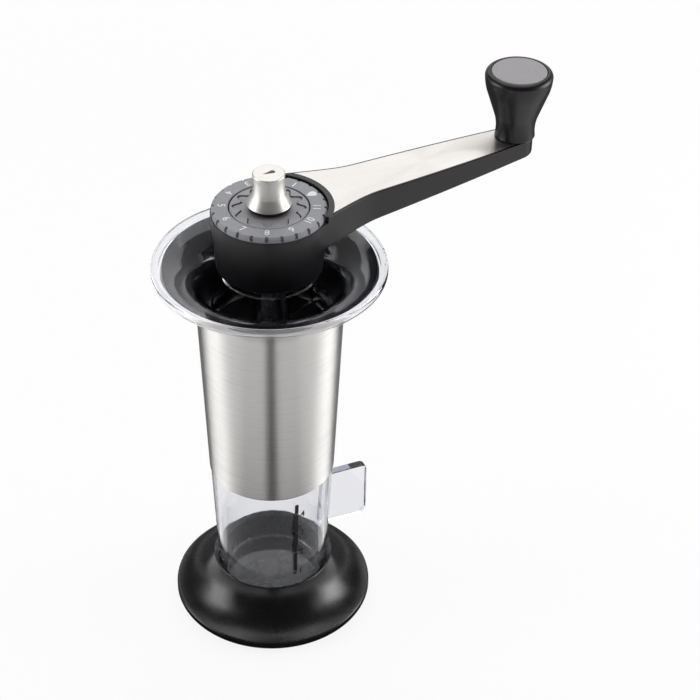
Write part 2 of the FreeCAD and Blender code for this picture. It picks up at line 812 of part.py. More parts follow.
def shaft_spring():
    """One unbroken round wire on arcs of a quarter turn."""
    quarters = int(SPRING_TURNS * 4)
    states = [helix_state(i / 4) for i in range(quarters + 1)]
    edges = []
    for first, second in zip(states, states[1:]):
        edges.extend(biarc(first, second))
    start, way = states[0]
    section = Part.Wire(Part.Circle(start, way, WIRE_R).toShape())
    sweep = Part.BRepOffsetAPI.MakePipeShell(Part.Wire(edges))
    sweep.add(section)
    sweep.build()
    sweep.makeSolid()
    return sweep.shape()


def head_radius(height):
    """The crank head's outer radius at a height."""
    share = (height - HEAD_LOW) / (HEAD_TOP - HEAD_LOW)
    return HEAD_LOW_R + share * (HEAD_TOP_R - HEAD_LOW_R)


def arm_side(sign, inset, height, slope):
    """The arm's flank near the head: it leaves the round head smoothly, then sweeps in to the neck."""
    root = math.radians(ARM_ROOT_ANGLE)
    root_r = head_radius(height) - ARM_ROOT_SINK
    points = [(root_r * math.cos(root), root_r * math.sin(root)), *ARM_SIDE, ARM_NECK]
    flank = Part.BSplineCurve()
    flank.interpolate(
        [FreeCAD.Vector(x, sign * (y - inset), height) for x, y in points],
        InitialTangent=FreeCAD.Vector(math.sin(root), -sign * math.cos(root), 0),
        FinalTangent=FreeCAD.Vector(math.cos(slope), -sign * math.sin(slope), 0),
    )
    return flank.toShape()


def arm_outline(inset, height):
    """The arm from above: swept flanks at the head, slightly bowed sides, a round end about the axle."""
    neck_x, neck_y = ARM_NECK
    end_r = ARM_END_R - inset
    run = CRANK_RADIUS - neck_x
    straight = math.atan2(neck_y - inset, run) - math.asin(end_r / math.hypot(run, neck_y - inset))
    touch_x = CRANK_RADIUS + end_r * math.sin(straight)
    touch_y = end_r * math.cos(straight)
    middle = ((neck_x + touch_x) / 2, (neck_y - inset + touch_y) / 2 + ARM_BOW)
    slope = straight - 2 * math.atan(2 * ARM_BOW / (touch_x - neck_x))
    near = arm_side(-1, inset, height, slope)
    far = arm_side(1, inset, height, slope)
    neck = [FreeCAD.Vector(neck_x, sign * (neck_y - inset), height) for sign in (-1, 1)]
    bow = [FreeCAD.Vector(middle[0], sign * middle[1], height) for sign in (-1, 1)]
    touch = [FreeCAD.Vector(touch_x, sign * touch_y, height) for sign in (-1, 1)]
    tip = FreeCAD.Vector(CRANK_RADIUS + end_r, 0, height)
    edges = [
        near,
        Part.Arc(neck[0], bow[0], touch[0]).toShape(),
        Part.Arc(touch[0], tip, touch[1]).toShape(),
        Part.Arc(touch[1], bow[1], neck[1]).toShape(),
        far,
        Part.LineSegment(far.valueAt(far.FirstParameter), near.valueAt(near.FirstParameter)).toShape(),
    ]
    return Part.Wire(Part.__sortEdges__(edges))


def arm_blank():
    """The arm's block, drawn out with the head, cut to its rising underside, its long edges rounded."""
    low = arm_low(0) - OVERRUN
    block = Part.makeLoft([arm_outline(0.0, low), arm_outline(0.0, ARM_TOP)], True, True)
    reach = CRANK_RADIUS + 2 * ARM_END_R
    under = Part.Face(outline(at(0, arm_low(0)), at(reach, arm_low(reach)), at(reach, 0), at(0, 0)))
    wide = 80.0
    wedge = under.extrude(FreeCAD.Vector(0, wide, 0))
    wedge.translate(FreeCAD.Vector(0, -wide / 2, 0))
    block = block.cut(wedge)
    block = block.makeFillet(ARM_EDGE, long_edges(block, arm_low))
    return block.makeFillet(ARM_RIM_EDGE, long_edges(block, lambda x: ARM_TOP))


def long_edges(block, height_at):
    """The edges of the arm's block that lie at a height, apart from the one across its root."""
    rims = []
    for edge in block.Edges:
        ends = [v.Point for v in edge.Vertexes]
        level = all(abs(p.z - height_at(p.x)) < 1e-3 for p in ends)
        if level and edge.BoundBox.XMax > HEAD_TOP_R:
            rims.append(edge)
    return rims


def crank_body():
    """Crank head and arm in one moulding, with the dial's pocket, the crescent lip and a hollow."""
    round_low = 0.6
    head = turned(
        at(0, HEAD_LOW),
        at(head_radius(HEAD_LOW) - round_low, HEAD_LOW),
        at(head_radius(HEAD_LOW + round_low), HEAD_LOW + round_low),
        at(HEAD_TOP_R, HEAD_TOP),
        at(0, HEAD_TOP),
    )
    body = head.fuse(arm_blank())
    recess = rod(HEAD_RECESS_R, HEAD_LOW - OVERRUN, HEAD_FLOOR)
    hollow = tube(HEAD_RECESS_R, HEAD_BOSS_R, HEAD_FLOOR - NUDGE, HEAD_HOLLOW_TOP)
    pocket = rod(DIAL_POCKET_R, DIAL_FLOOR, ARM_TOP + OVERRUN)
    clear_lip = rod(LIP_IN_R, HEAD_TOP, ARM_TOP + OVERRUN)
    open_span = 360 - LIP_NEAR_END - LIP_FAR_END
    open_middle = LIP_FAR_END + open_span / 2
    open_rim = sector(LIP_OUT_R + OVERRUN, HEAD_BOSS_R, HEAD_TOP, ARM_TOP + OVERRUN, open_middle, open_span)
    socket = rod(SOCKET_R + RUN_GAP, SOCKET_LOW, DIAL_FLOOR + OVERRUN)
    shaft_way = rod(SHAFT_R + FREE_GAP, HEAD_LOW, SOCKET_LOW + OVERRUN)
    low_end = arm_low(CRANK_RADIUS)
    axle_way = rod(AXLE_R + FIT_GAP, low_end - 2 * OVERRUN, PLATE_TOP, CRANK_RADIUS)
    axle_sink = rod(AXLE_HEAD_R + FREE_GAP, low_end - 3 * OVERRUN, axle_seat(), CRANK_RADIUS)
    cuts = [recess, hollow, pocket, clear_lip, open_rim, socket, shaft_way, axle_way, axle_sink]
    cuts.append(plate_blank(PLATE_INSET))
    cuts += screw_bores(HUB_SCREW + FREE_GAP, HUB_SCREW_R, HEAD_FLOOR - OVERRUN, SOCKET_LOW + OVERRUN)
    cuts += screw_bores(HUB_SCREW_HEAD + FREE_GAP, HUB_SCREW_R, HEAD_FLOOR - OVERRUN, HUB_SCREW_SEAT)
    return body.cut(cuts)


def on_axle(shape):
    """A shape made about the main axis, moved to the handle's axle."""
    shape.translate(FreeCAD.Vector(CRANK_RADIUS, 0, 0))
    return shape


def axle_seat():
    """The height of the face that the axle's head bears on, inside the arm's underside."""
    return arm_low(CRANK_RADIUS) + AXLE_SINK


def plate_blank(inset):
    """The plate's outline on the arm, cut back round the crescent lip, as deep as the plate."""
    face = Part.Face(arm_outline(inset, PLATE_LOW))
    blank = face.extrude(FreeCAD.Vector(0, 0, PLATE_TOP - PLATE_LOW))
    around_lip = rod(LIP_OUT_R + inset - PLATE_INSET, PLATE_LOW - OVERRUN, PLATE_TOP + OVERRUN)
    return max(blank.cut(around_lip).Solids, key=lambda solid: solid.Volume)


def crank_plate():
    """The thin steel plate let into the top of the arm."""
    axle_hole = rod(AXLE_R + RUN_GAP, PLATE_LOW - OVERRUN, PLATE_TOP + OVERRUN, CRANK_RADIUS)
    return plate_blank(PLATE_INSET + NUDGE).cut(axle_hole)


def star_prism(grow, low, high):
    """The wavy twelve-lobe outline as an upright prism."""
    per_lobe = 8
    count = STAR_LOBES * per_lobe
    points = []
    for i in range(count):
        angle = 360.0 * i / count
        wave = STAR_WAVE * math.cos(math.radians(STAR_LOBES * angle))
        points.append(polar(STAR_MEAN + wave + grow, angle, low))
    curve = Part.BSplineCurve()
    curve.interpolate(points, PeriodicFlag=True)
    return Part.Face(Part.Wire(curve.toShape())).extrude(FreeCAD.Vector(0, 0, high - low))


def dial_ring():
    """The numbered ring, with a bevelled edge cut by even notches."""
    ring = turned(
        at(DIAL_RING_R, DIAL_FLOOR),
        at(DIAL_R, DIAL_FLOOR),
        at(DIAL_R, DIAL_TOP - DIAL_BEVEL),
        at(DIAL_R - DIAL_BEVEL, DIAL_TOP),
        at(DIAL_RING_R, DIAL_TOP),
    )
    corner = FreeCAD.Vector(DIAL_R - NOTCH_DEEP, -NOTCH_WIDE / 2, NOTCH_LOW)
    notch = Part.makeBox(2 * NOTCH_DEEP, NOTCH_WIDE, DIAL_TOP, corner)
    return ring.cut(ring_of(notch, NOTCHES))


def dial_center():
    """The plate inside the ring, with a bevelled edge and the wavy opening."""
    disc = turned(
        at(0, DIAL_FLOOR),
        at(DIAL_CENTER_R, DIAL_FLOOR),
        at(DIAL_CENTER_R, DIAL_CENTER_TOP - DIAL_CENTER_BEVEL),
        at(DIAL_CENTER_R - DIAL_CENTER_BEVEL, DIAL_CENTER_TOP),
        at(0, DIAL_CENTER_TOP),
    )
    return disc.cut(star_prism(STAR_GAP, DIAL_FLOOR - OVERRUN, DIAL_TOP + OVERRUN))


def drive_socket():
    """The insert that drives the shaft's square: a round flange in the head and a star in the dial."""
    socket = rod(SOCKET_R, SOCKET_LOW, DIAL_FLOOR).fuse(star_prism(0.0, DIAL_FLOOR - NUDGE, STAR_TOP))
    bore_top = HUB_SCREW_SEAT + HUB_SCREW_REACH + FREE_GAP
    bores = screw_bores(HUB_SCREW + FIT_GAP, HUB_SCREW_R, SOCKET_LOW - OVERRUN, bore_top)
    return socket.cut([square_bar(SQUARE_HOLE, SOCKET_LOW - OVERRUN, STAR_TOP + OVERRUN)] + bores)


def knob_axle():
    """The shouldered axle that the handle knob turns on, with a groove for its clip."""
    seat = axle_seat()
    axle = rod(AXLE_R, seat - NUDGE, AXLE_TOP, CRANK_RADIUS)
    axle = axle.fuse(rod(AXLE_HEAD_R, seat - AXLE_HEAD_H, seat, CRANK_RADIUS))
    slot_corner = FreeCAD.Vector(CRANK_RADIUS - AXLE_HEAD_R, -AXLE_SLOT / 2, seat - AXLE_HEAD_H)
    slot = Part.makeBox(2 * AXLE_HEAD_R, AXLE_SLOT, AXLE_SLOT, slot_corner)
    groove = on_axle(tube(AXLE_R + OVERRUN, CLIP_BORE, CLIP_LOW - NUDGE, CLIP_TOP + NUDGE))
    return axle.cut([slot, groove])


def axle_washer():
    return on_axle(tube(AXLE_WASHER_R, AXLE_R + RUN_GAP, PLATE_TOP, PLATE_TOP + AXLE_WASHER_H))


def axle_clip():
    """A split ring that snaps into the axle's groove."""
    clip = tube(CLIP_R, CLIP_BORE + NUDGE, CLIP_LOW, CLIP_TOP)
    mouth_wide = 2.6
    mouth_corner = FreeCAD.Vector(OVERRUN, -mouth_wide / 2, CLIP_LOW - OVERRUN)
    mouth = Part.makeBox(CLIP_R, mouth_wide, CLIP_TOP, mouth_corner)
    return on_axle(clip.cut(mouth))


def handle_knob():
    """The pear-shaped grip: a narrow foot, a slim waist, a wide crown and a seat for the disc."""
    bore = GRIP_BUSH_R + NUDGE
    bush_top = CLIP_LOW - BUSH_SHORT
    return on_axle(
        turned(
            at(bore, GRIP_LOW),
            at(GRIP_LOW_R - GRIP_EDGE, GRIP_LOW),
            at(GRIP_LOW_R, GRIP_LOW + GRIP_EDGE),
            (at(*GRIP_WAIST), at(*GRIP_NECK)),
            at(*GRIP_SHOULDER),
            (at(*GRIP_SWELL), at(*GRIP_WIDE)),
            (at(*GRIP_CROWN), at(GRIP_TOP_R + GRIP_RIM, GRIP_TOP)),
            at(GRIP_TOP_R, GRIP_TOP),
            at(GRIP_TOP_R, CAP_LOW),
            at(CLIP_ROOM_R, CAP_LOW),
            at(CLIP_ROOM_R, bush_top),
            at(bore, bush_top),
        )
    )


def knob_cap():
    edge = 0.3
    return on_axle(
        turned(
            at(0, CAP_LOW),
            at(CAP_R, CAP_LOW),
            at(CAP_R, CAP_TOP - edge),
            at(CAP_R - edge, CAP_TOP),
            at(0, CAP_TOP),
        )
    )


def adjuster_knob():
    """The flared knob: a conical skirt, a crease, a slim waist and a flat top with a rounded edge."""
    corner = KNOB_EDGE * (1 - math.sqrt(0.5))
    nut_room = NUT_TOP + 4 * NUDGE
    knob = turned(
        at(NUT_OUT_R, KNOB_LOW),
        at(KNOB_LOW_R - KNOB_EDGE / 2, KNOB_LOW),
        at(KNOB_LOW_R, KNOB_LOW + KNOB_EDGE / 2),
        at(*KNOB_CREASE),
        (at(*KNOB_WAIST), at(KNOB_TOP_R, KNOB_TOP - KNOB_EDGE)),
        (at(KNOB_TOP_R - corner, KNOB_TOP - corner), at(KNOB_TOP_R - KNOB_EDGE, KNOB_TOP)),
        at(0, KNOB_TOP),
        at(0, nut_room),
        at(NUT_OUT_R, nut_room),
    )
    return knob.cut(pointer_prism(KNOB_TOP - POINTER_DEEP, KNOB_TOP + OVERRUN, 0.0))


def pointer_prism(low, high, shrink):
    """A teardrop that points away from the arm, its round end towards it."""
    round_r = POINTER_ROUND - shrink
    round_x = POINTER_LONG / 2 - POINTER_ROUND
    tail = POINTER_LONG - POINTER_ROUND - shrink
    lean = math.asin(round_r / tail)
    touch_x = round_x - round_r * math.sin(lean)
    touch_y = round_r * math.cos(lean)
    wire = outline(
        FreeCAD.Vector(round_x - tail, 0, low),
        FreeCAD.Vector(touch_x, -touch_y, low),
        (FreeCAD.Vector(round_x + round_r, 0, low), FreeCAD.Vector(touch_x, touch_y, low)),
    )
    return Part.Face(wire).extrude(FreeCAD.Vector(0, 0, high - low))


PARTS = {
    "base_pad": base_pad,
    "base_shell": base_shell,
    "grounds_container": grounds_container,
    "housing_shell": housing_shell,
    "hopper_bowl": hopper_bowl,
    "inner_funnel": inner_funnel,
    "bearing_spider": bearing_spider,
    "upper_bush": lambda: bush(DRUM_TOP - BUSH_LENGTH),
    "lower_bush": lambda: bush(HUB_LOW),
    "thrust_washer": lambda: tube(THRUST_R, SHAFT_R + SHAFT_PLAY, DRUM_TOP, DRUM_TOP + WASHER_THICK),
    "spring_washer": lambda: tube(SPRING_WASHER_R, SHAFT_R + SHAFT_PLAY, HUB_LOW - WASHER_THICK, HUB_LOW),
    "burr_housing": burr_housing,
    "outer_burr": outer_burr,
    "burr_retainer": burr_retainer,
    "retainer_screws": retainer_screws,
    "drive_shaft": drive_shaft,
    "drive_pin": lambda: cross_pin(PIN_R),
    "burr_driver": burr_driver,
    "inner_burr": inner_burr,
    "burr_washer": lambda: tube(BURR_WASHER_R, STUD_R + RUN_GAP, SEAT_LOW - BURR_WASHER_H, SEAT_LOW - NUDGE),
    "burr_nut": lambda: hex_nut(NUT_FLATS, STUD_R + FIT_GAP, NUT_LOW, SEAT_LOW - BURR_WASHER_H),
    "shaft_spring": shaft_spring,
    "crank_body": crank_body,
    "crank_plate": crank_plate,
    "dial_ring": dial_ring,
    "dial_center": dial_center,
    "drive_socket": drive_socket,
    "hub_screws": hub_screws,
    "knob_axle": knob_axle,
    "axle_washer": axle_washer,
    "axle_clip": axle_clip,
    "handle_knob": handle_knob,
    "knob_bush": lambda: on_axle(tube(GRIP_BUSH_R, AXLE_R + NUDGE, GRIP_LOW, CLIP_LOW - BUSH_SHORT)),
    "knob_cap": knob_cap,
    "adjuster_knob": adjuster_knob,
    "adjuster_nut": lambda: tube(NUT_OUT_R - NUDGE, THREAD_R + NUDGE, KNOB_LOW, NUT_TOP),
    "adjuster_washer": lambda: tube(KNOB_WASHER_R, THREAD_R + SHAFT_PLAY, WASHER_LOW, KNOB_LOW),
    "adjuster_pointer": lambda: pointer_prism(KNOB_TOP - POINTER_DEEP, KNOB_TOP - NUDGE, NUDGE),
}

os.makedirs("parts", exist_ok=True)
for name, make in PARTS.items():
    shape = make()
    print(f"{name}: {len(shape.Solids)} solids, valid {shape.isValid()}, {shape.Volume / 1000:.2f} cm3")
    shape.exportStep(f"parts/{name}.step")
print(f"least gap between the spring's turns: {spring_gap():.2f} mm")
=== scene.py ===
import json
import math

import bpy
from mathutils import Matrix, Vector


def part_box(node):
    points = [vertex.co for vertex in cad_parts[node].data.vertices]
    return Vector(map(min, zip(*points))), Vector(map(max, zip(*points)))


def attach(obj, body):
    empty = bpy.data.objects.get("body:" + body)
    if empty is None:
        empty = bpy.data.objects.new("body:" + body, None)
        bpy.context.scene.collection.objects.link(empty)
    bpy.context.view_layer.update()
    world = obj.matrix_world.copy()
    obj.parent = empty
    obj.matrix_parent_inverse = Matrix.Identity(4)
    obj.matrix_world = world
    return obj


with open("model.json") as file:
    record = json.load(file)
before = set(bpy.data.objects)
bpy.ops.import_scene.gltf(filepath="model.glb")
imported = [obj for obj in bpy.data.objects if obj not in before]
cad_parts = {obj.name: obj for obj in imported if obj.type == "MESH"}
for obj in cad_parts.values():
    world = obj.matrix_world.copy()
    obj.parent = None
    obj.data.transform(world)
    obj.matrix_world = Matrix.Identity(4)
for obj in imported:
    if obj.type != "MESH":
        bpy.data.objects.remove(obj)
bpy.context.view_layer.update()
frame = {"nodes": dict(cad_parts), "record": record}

# The frame is in metres
MM = 0.001

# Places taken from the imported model
NODES = frame["nodes"]
DIAL_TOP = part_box("dial_ring")[1].z
CUP_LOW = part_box("grounds_container")[0]
CUP_TOP_RADIUS = -CUP_LOW.x

# The cup's outer wall is a cone from its floor up to its shoulder
CUP_FOOT_RADIUS = 26.0 * MM
CUP_SHOULDER_Z = 82.0 * MM

# Printing lies this far off the surface and is this thick
PRINT_LIFT = 0.02 * MM
PRINT_THICKNESS = 0.05 * MM

# Steps along the curves of the marks
LETTER_STEPS = 6
DROP_STEPS = 60
BAR_END_STEPS = 12

# Marks on the dial. A larger power makes the tip of the drop slimmer
DIAL_NUMBERS = 11
DIAL_STEP = math.radians(30)
DIAL_MARK_RADIUS = 20.7 * MM
DIAL_NUMBER_SIZE = 4.9 * MM
DIAL_NUMBER_WEIGHT = 0.03 * MM
DIAL_DROP_LENGTH = 5.2 * MM
DIAL_DROP_WIDTH = 3.8 * MM
DIAL_DROP_POWER = 1.4

# Marks on the cup
SCALE_ANGLE = math.radians(-93.9)
SCALE_WIDTH = 1.9 * MM
SCALE_LOW = 30.25 * MM
SCALE_HIGH = 76.75 * MM
SCALE_GAP = 0.9 * MM
SCALE_GAPS = {"1": 32.25 * MM, "2": 45.25 * MM, "3": 57.85 * MM, "4": 70.1 * MM}
SCALE_NUMBER_ANGLE = math.radians(-87.5)
SCALE_NUMBER_SIZE = 5.0 * MM
SCALE_NUMBER_WEIGHT = 0.06 * MM
SCALE_NUMBER_DROP = 0.4 * MM

# Moulded plastics: colour, roughness, width and depth of the grain, change of tone, specular level
PLASTICS = {
    "rubber": ((0.02, 0.02, 0.021), 0.75, 0.5 * MM, 0.02 * MM, 0.12, 0.5),
    "foot_black": ((0.0015, 0.0015, 0.0018), 0.28, 0.4 * MM, 0.012 * MM, 0.12, 0.65),
    "inner_black": ((0.004, 0.004, 0.005), 0.4, 4.0 * MM, 0.002 * MM, 0.12, 0.08),
    "crank_black": ((0.007, 0.006, 0.0072), 0.33, 0.3 * MM, 0.005 * MM, 0.12, 0.4),
    "dial_grey": ((0.295, 0.297, 0.316), 0.5, 0.3 * MM, 0.02 * MM, 0.25, 0.5),
    "socket_grey": ((0.28, 0.28, 0.293), 0.5, 0.3 * MM, 0.02 * MM, 0.25, 0.5),
    "cap_grey": ((0.335, 0.32, 0.335), 0.5, 0.3 * MM, 0.02 * MM, 0.25, 0.5),
    "pointer_dark": ((0.05, 0.045, 0.035), 0.5, 0.3 * MM, 0.005 * MM, 0.12, 0.5),
    "bush_plastic": ((0.75, 0.74, 0.7), 0.4, 0.4 * MM, 0.005 * MM, 0.05, 0.5),
    "ceramic": ((0.85, 0.83, 0.79), 0.55, 0.2 * MM, 0.01 * MM, 0.05, 0.5),
}
PLASTIC_GLOSS_CHANGE = 0.03
# How many grains wide a patch of one gloss is
GLOSS_PATCH = 25

# Metals turned round the axis: colour, roughness, width of a line, change of tone, stretch of the shine
TURNED_METALS = {
    "housing_steel": ((0.66, 0.648, 0.632), 0.36, 0.16 * MM, 0.08, 0.95),
    "knob_nickel": ((0.7, 0.684, 0.656), 0.48, 0.2 * MM, 0.08, 0.5),
    "brass": ((0.72, 0.56, 0.26), 0.3, 0.2 * MM, 0.1, 0.6),
    "steel": ((0.55, 0.55, 0.55), 0.3, 0.2 * MM, 0.1, 0.6),
}
TURNED_LINE_DEPTH = 0.001 * MM
# How fast the lines and the broader bands change round the axis, and how many lines wide a band is
LINE_CHANGE = 3.0
BAND_CHANGE = 1.2
BAND_LINES = 5

# Metal brushed along X: colour, roughness, width and length of a line, change of tone, stretch of the shine
BRUSHED_METALS = {"plate_steel": ((0.72, 0.7, 0.67), 0.36, 0.2 * MM, 12.0 * MM, 0.08, 0.9)}
BRUSHED_LINE_DEPTH = 0.004 * MM
METAL_GLOSS_CHANGE = 0.05

# How far the stretch of the shine is turned from the way round the axis, as a share of a full turn
NO_TURN = 0.0
QUARTER_TURN = 0.25

# Clear plastics: index of refraction, density of the tint, roughness
CLEAR_PLASTICS = {
    "clear_plastic": (1.46, 70.0, 0.03),
    "hopper_plastic": (1.3, 60.0, 0.05),
}
CLEAR_GLOSS_CHANGE = 0.02
# Their own colour, the colour of the tint where they are thick, and the share of lamp light they let through
CLEAR_COLOUR = (0.97, 0.972, 0.978)
CLEAR_TINT = (0.6, 0.6, 0.7, 1.0)
CLEAR_LIGHT_SHARE = (0.93, 0.94, 0.95, 1.0)
# Flow marks: how fast they change round the axis, how many cross a metre, and how deep they are
FLOW_CHANGE = 4.0
FLOW_MARKS = 220.0
FLOW_DEPTH = 0.01 * MM

# Inks: colour and roughness
INKS = {
    "print_white": ((0.86, 0.86, 0.86), 0.45),
    "print_black": ((0.012, 0.012, 0.012), 0.4),
}
INK_GLOSS_CHANGE = 0.05
# How many spots of thin ink cross a metre, and the share of the colour that is left in them
INK_SPOTS = 2500.0
THIN_INK = 0.9

# Nodes with a finish of their own within their slot
OWN_LOOKS = {"hopper_bowl": "hopper_plastic", "bearing_spider": "hopper_plastic"}

# The range that a noise value mostly fills, and the ranges for the sum of two. A colour ramp ends at one
NOISE_SPAN = (0.3, 0.7)
SUM_GLOSS_SPAN = (0.7, 1.3)
SUM_TONE_SPAN = (0.7, 1.0)

# The photograph's camera
LENS = 97.17
SENSOR = 36.0
CLIP_NEAR = 0.01
CLIP_FAR = 20.0
CAMERA_PLACE = Vector((-0.3164, -0.6144, 0.6701))
CAMERA_HEADING = math.radians(30.26)
CAMERA_PITCH = math.radians(37.06)
CAMERA_ROLL = math.radians(1.19)

# The floor lies this far under the object, and the cards on it half as far
FLOOR_DROP = 0.02 * MM
FLOOR_RADIUS = 3.0
FLOOR_SIDES = 96
FLOOR_COLOUR = (0.9, 0.9, 0.9)
FLOOR_ROUGHNESS = 0.9
# The floor's share of plain white near the object and far from it, and the distances where it starts and
# stops growing
FLOOR_WHITE = (0.88, 1.0)
FLOOR_WHITE_SPAN = (0.5, 1.0)

# The light from all round
WHITE = (1.0, 1.0, 1.0, 1.0)
WORLD_COLOUR = (0.2, 0.2, 0.204)
# In reflections the white backdrop fades into a dim ceiling, and into a dim room on the camera's side.
# Each pair is the part of the ray's direction that points up, or to the camera's side, where a fade
# starts and ends
CEILING_FADE = (0.0, 0.15)
ROOM_FADE = (0.1, 0.5)
DIM_LEVEL = 0.08

# Each softbox: degrees right of the camera, degrees up, distance, width, height, brightness
SOFTBOXES = {
    "left_box": (-84, 22, 1.0, 0.75, 0.8, 1.6),
    "left_core": (-84, 22, 0.98, 0.4, 0.6, 2.4),
    "right_box": (95, 20, 1.0, 0.75, 0.65, 2.2),
    "right_core": (97, 20, 0.98, 0.4, 0.45, 3.8),
    "back_box": (180, 38, 1.5, 1.6, 0.7, 1.33),
    "top_box": (180, 73, 1.5, 1.4, 1.3, 1.75),
}
LIGHT_TARGET = Vector((0.03, 0.0, 0.12))

# The flags are dark cards on the floor that only reflections show. The front one is told as pairs of
# distance and half width along a line towards the camera, the back one as degrees right of the camera
FLAG_COLOUR = (0.08, 0.08, 0.08)
FLAG_ROUGHNESS = 1.0
FRONT_FLAG_TURN = 3.0
FRONT_FLAG = ((0.0, 0.09), (0.095, 0.09), (0.12, 0.028), (2.5, 0.028))
BACK_FLAG = (114, 246)
BACK_FLAG_NEAR = 0.05
BACK_FLAG_FAR = 2.5
BACK_FLAG_STEPS = 8


def add(tree, kind, inputs=None, **settings):
    """Adds a node, sets its properties, and fills its inputs with values or with links from other nodes."""
    node = tree.nodes.new(kind)
    for name, value in settings.items():
        setattr(node, name, value)
    for name, value in (inputs or {}).items():
        if isinstance(value, bpy.types.NodeSocket):
            tree.links.new(value, node.inputs[name])
        else:
            node.inputs[name].default_value = value
    return node


def combined(tree, operation, first, second):
    """Two values combined into one by a named operation."""
    return add(tree, "ShaderNodeMath", {0: first, 1: second}, operation=operation).outputs["Value"]


def mixed(tree, share, first, second):
    """Two shaders mixed into one, with this share of the second."""
    return add(tree, "ShaderNodeMixShader", {0: share, 1: first, 2: second}).outputs["Shader"]


def ray_kind(tree, first, *others):
    """One where the ray is of one of these kinds, else zero."""
    path = add(tree, "ShaderNodeLightPath")
    total = path.outputs[first]
    for kind in others:
        total = combined(tree, "MAXIMUM", total, path.outputs[kind])
    return total


def new_material(name, colour, roughness, metallic=0.0):
    """A new material, its tree and its shader."""
    material = bpy.data.materials.new(name)
    material.use_nodes = True
    tree = material.node_tree
    shader = tree.nodes["Principled BSDF"]
    shader.inputs["Base Color"].default_value = (*colour, 1.0)
    shader.inputs["Roughness"].default_value = roughness
    shader.inputs["Metallic"].default_value = metallic
    return material, tree, shader


def point(tree):
    """The place on the surface, in metres."""
    return add(tree, "ShaderNodeTexCoord").outputs["Object"]


def noise(tree, place, scale, detail=3.0, rough=0.55):
    """Noise with the given number of features for each unit of place."""
    inputs = {"Vector": place, "Scale": scale, "Detail": detail, "Roughness": rough}
    return add(tree, "ShaderNodeTexNoise", inputs).outputs["Fac"]


def spread(tree, value, low, high, span=NOISE_SPAN):
    """Stretches a value from its span to the range from low to high."""
    inputs = {"Value": value, "From Min": span[0], "From Max": span[1], "To Min": low, "To Max": high}
    return add(tree, "ShaderNodeMapRange", inputs).outputs["Result"]


def shades(tree, value, dark, light, span=NOISE_SPAN):
    """Two colours mixed by a noise value."""
    ramp = add(tree, "ShaderNodeValToRGB", {"Fac": value})
    for element, position, colour in zip(ramp.color_ramp.elements, span, (dark, light)):
        element.position = position
        element.color = (*colour, 1.0)
    return ramp.outputs["Color"]


def tinted(colour, factor):
    """The same colour, lighter or darker."""
    return tuple(min(1.0, part * factor) for part in colour)


def vary_tone(tree, shader, value, colour, change, span=NOISE_SPAN):
    """Makes the colour darker and lighter with a noise value."""
    colours = shades(tree, value, tinted(colour, 1 - change), tinted(colour, 1 + change), span)
    tree.links.new(colours, shader.inputs["Base Color"])


def vary_gloss(tree, shader, value, roughness, change, span=NOISE_SPAN):
    """Makes the surface glossier and duller with a noise value."""
    gloss = spread(tree, value, roughness - change, roughness + change, span)
    tree.links.new(gloss, shader.inputs["Roughness"])


def bump(tree, shader, value, depth):
    """Relief of the given depth in metres."""
    inputs = {"Height": value, "Strength": 1.0, "Distance": depth}
    relief = add(tree, "ShaderNodeBump", inputs)
    tree.links.new(relief.outputs["Normal"], shader.inputs["Normal"])


def stretch_shine(tree, shader, amount, turn):
    """Stretches the shine the way round the upright axis, or turned from it by a share of a full turn."""
    tangent = add(tree, "ShaderNodeTangent", direction_type="RADIAL", axis="Z")
    tree.links.new(tangent.outputs["Tangent"], shader.inputs["Tangent"])
    shader.inputs["Anisotropic"].default_value = amount
    shader.inputs["Anisotropic Rotation"].default_value = turn


def turned_place(tree, round_scale, cross_scale):
    """Coordinates of a turned surface: slow round the upright axis, fast up the wall or out along a face."""
    place = point(tree)
    flat = add(tree, "ShaderNodeVectorMath", {0: place, 1: (1.0, 1.0, 0.0)}, operation="MULTIPLY")
    heading = add(tree, "ShaderNodeVectorMath", {0: flat.outputs["Vector"]}, operation="NORMALIZE")
    turn = {0: heading.outputs["Vector"], "Scale": round_scale}
    slow = add(tree, "ShaderNodeVectorMath", turn, operation="SCALE")
    out = add(tree, "ShaderNodeVectorMath", {0: flat.outputs["Vector"]}, operation="LENGTH")
    height = add(tree, "ShaderNodeSeparateXYZ", {0: place})
    climb = combined(tree, "ADD", out.outputs["Value"], height.outputs["Z"])
    lift = add(tree, "ShaderNodeCombineXYZ", {"Z": combined(tree, "MULTIPLY", climb, cross_scale)})
    both = {0: slow.outputs["Vector"], 1: lift.outputs["Vector"]}
    return add(tree, "ShaderNodeVectorMath", both, operation="ADD").outputs["Vector"]


def moulded_plastic(name, colour, roughness, grain, depth, tone, specular):
    """Moulded plastic with a spark-eroded grain: a fine relief, and slight changes of tone and gloss."""
    material, tree, shader = new_material(name, colour, roughness)
    place = point(tree)
    fine = noise(tree, place, 1.0 / grain)
    broad = noise(tree, place, 1.0 / (GLOSS_PATCH * grain), detail=2.0)
    vary_tone(tree, shader, fine, colour, tone)
    vary_gloss(tree, shader, broad, roughness, PLASTIC_GLOSS_CHANGE)
    bump(tree, shader, fine, depth)
    shader.inputs["Specular IOR Level"].default_value = specular
    return material


